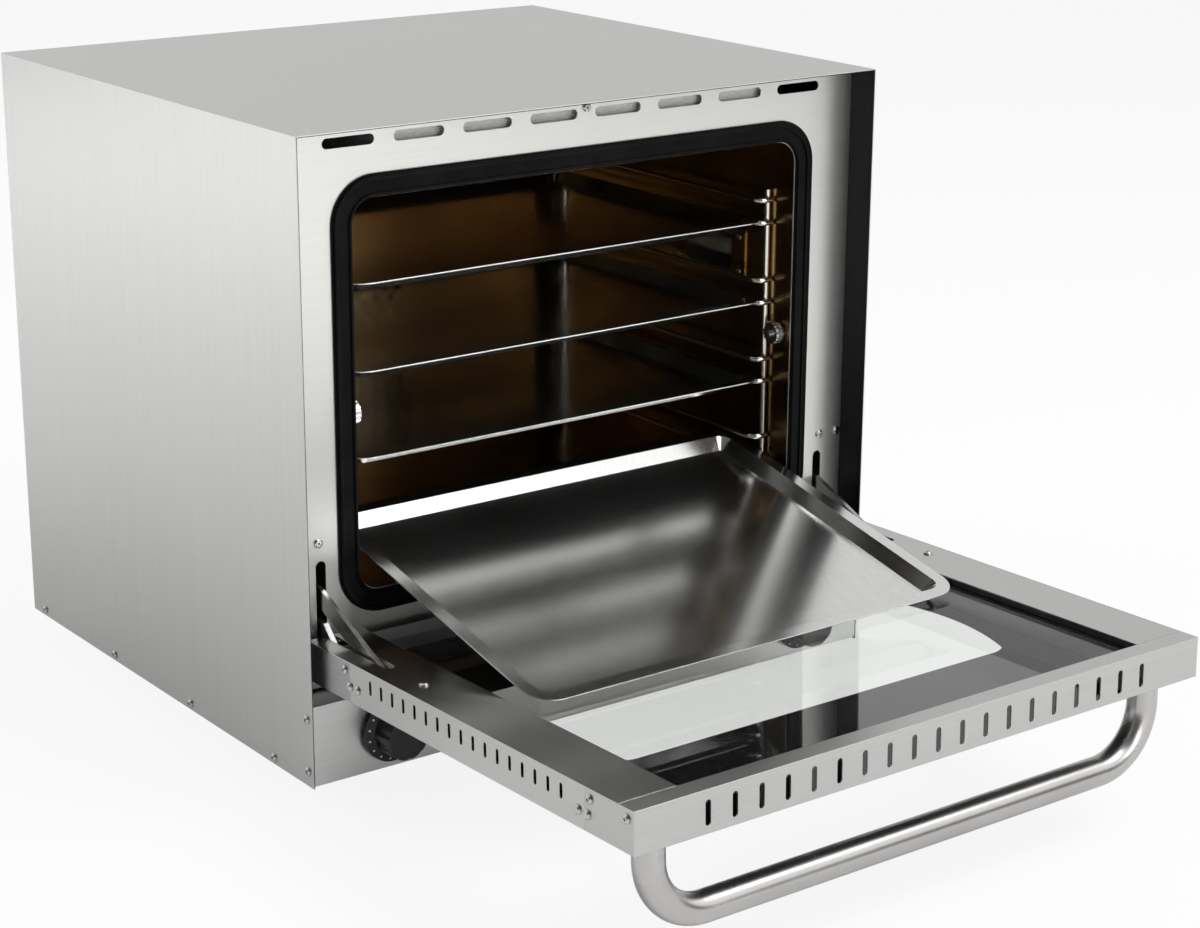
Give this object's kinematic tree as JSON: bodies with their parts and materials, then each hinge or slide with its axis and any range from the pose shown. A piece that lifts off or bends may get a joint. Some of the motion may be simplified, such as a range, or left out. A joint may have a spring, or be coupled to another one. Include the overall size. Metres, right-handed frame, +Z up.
{
  "type": "mini oven",
  "caption": "Countertop convection oven with a drop-down glazed door on strap hinges, wire shelf ladders, sliding trays, knobs and a rear fan",
  "frame": {"origin": "middle of the base plate's pressed field, level with the casing's lower edge; the feet stand below it", "axes": "+Z up, -Y towards the user at the door's side, +X to the user's right"},
  "size_m": [0.599, 0.9633, 0.57],
  "materials": {
    "casing_steel": "brushed stainless sheet",
    "panel_steel": "bright brushed stainless sheet",
    "plain_steel": "plain zinc-coated sheet",
    "foot_rubber": "matt black rubber",
    "oven_steel": "heat-tinted stainless sheet",
    "wool": "white mineral wool",
    "seal_rubber": "black silicone",
    "lens_plastic": "clear amber lens",
    "control_plastic": "dark moulded plastic",
    "heater_steel": "dark heat-stained sheath",
    "motor_metal": "grey painted",
    "lamp_glass": "clear glass",
    "wire_chrome": "bright chromed wire",
    "hinge_steel": "pressed steel",
    "strap_steel": "bright pressed steel",
    "screw_steel": "bright zinc",
    "door_steel": "brushed stainless sheet",
    "rail_steel": "darker stainless sheet",
    "inner_pane": "clear heat-resisting pane",
    "outer_pane": "pane with a black printed border",
    "spacer_metal": "plain",
    "handle_tube": "polished stainless tube",
    "knob_plastic": "black moulded plastic",
    "shaft_steel": "turned steel",
    "fan_metal": "plain",
    "tray_steel": "polished stainless sheet"
  },
  "bodies": {
    "oven": {"hood": "casing_steel", "back_panel": "plain_steel", "base_plate": "plain_steel", "feet": "foot_rubber", "fascia": "panel_steel", "cavity_liner": "oven_steel", "insulation": "wool", "door_seal": "seal_rubber", "control_panel": "panel_steel", "indicator_lamps": "lens_plastic", "timer_body": "control_plastic", "thermostat_body": "control_plastic", "fan_baffle": "oven_steel", "heating_element": "heater_steel", "fan_motor": "motor_metal", "lamp_cover": "oven_steel", "lamp_glass": "lamp_glass", "lamp_holder": "plain_steel", "lamp_bulb": "lamp_glass", "ladder_left": "wire_chrome", "ladder_right": "wire_chrome", "ladder_studs": "wire_chrome", "ladder_nuts": "wire_chrome", "hinge_case_left": "hinge_steel", "hinge_case_right": "hinge_steel", "cable_gland": "control_plastic", "casing_screws": "screw_steel", "fascia_screws": "screw_steel"},
    "door": {"door_side_left": "door_steel", "door_side_right": "door_steel", "door_top_rail": "door_steel", "door_bottom_rail": "rail_steel", "inner_glass": "inner_pane", "outer_glass": "outer_pane", "glass_spacers": "spacer_metal", "glass_gasket": "seal_rubber", "door_handle": "handle_tube", "handle_plugs": "spacer_metal", "handle_bolts": "screw_steel", "hinge_arm_left": "hinge_steel", "hinge_arm_right": "hinge_steel", "hinge_pins": "screw_steel", "strap_pins": "screw_steel", "door_screws": "screw_steel", "door_rivets": "screw_steel"},
    "strap_left": {"hinge_strap_left": "strap_steel"},
    "strap_right": {"hinge_strap_right": "strap_steel"},
    "timer": {"timer_knob": "knob_plastic", "timer_shaft": "shaft_steel"},
    "thermostat": {"thermostat_knob": "knob_plastic", "thermostat_shaft": "shaft_steel"},
    "fan": {"fan_wheel": "fan_metal", "fan_shaft": "shaft_steel"},
    "tray_1": {"tray_1": "tray_steel"},
    "tray_2": {"tray_2": "tray_steel"},
    "tray_3": {"tray_3": "tray_steel"},
    "tray_4": {"tray_4": "tray_steel"}
  },
  "joints": [
    {"name": "door_hinge", "type": "hinge", "parent": "oven", "child": "door", "pos_m": [0, -0.255, 0.107], "axis": [1, 0, 0], "range_deg": [-88.6, 0]},
    {"name": "strap_left_pivot", "type": "hinge", "parent": "door", "child": "strap_left", "pos_m": [-0.268, -0.3309, 0.11186], "axis": [1, 0, 0], "range_deg": [0, 32.8]},
    {"name": "strap_right_pivot", "type": "hinge", "parent": "door", "child": "strap_right", "pos_m": [0.268, -0.3309, 0.11186], "axis": [1, 0, 0], "range_deg": [0, 32.8]},
    {"name": "tray_4_lift", "type": "slide", "parent": "door", "child": "tray_4", "axis": [0, -0.998, 0.0628], "range_m": [0, 0.665]},
    {"name": "tray_1_slide", "type": "slide", "parent": "oven", "child": "tray_1", "axis": [0, -1, 0], "range_m": [0, 0.28]},
    {"name": "tray_2_slide", "type": "slide", "parent": "oven", "child": "tray_2", "axis": [0, -1, 0], "range_m": [0, 0.28]},
    {"name": "tray_3_slide", "type": "slide", "parent": "oven", "child": "tray_3", "axis": [0, -1, 0], "range_m": [0, 0.28]},
    {"name": "timer_turn", "type": "hinge", "parent": "oven", "child": "timer", "pos_m": [-0.223, -0.275, 0.037], "axis": [0, 1, 0], "range_deg": [0, 300]},
    {"name": "thermostat_turn", "type": "hinge", "parent": "oven", "child": "thermostat", "pos_m": [0.223, -0.275, 0.037], "axis": [0, 1, 0], "range_deg": [0, 270]},
    {"name": "fan_spin", "type": "hinge", "parent": "oven", "child": "fan", "pos_m": [0, 0.155, 0.3145], "axis": [0, 1, 0], "continuous": true}
  ],
  "couplings": [
    {"joint": "strap_left_pivot", "follows": "door_hinge", "ratio": -0.37},
    {"joint": "strap_right_pivot", "follows": "door_hinge", "ratio": -0.37},
    {"joint": "tray_4_lift", "follows": "door_hinge", "m_per_rad": -0.43}
  ]
}
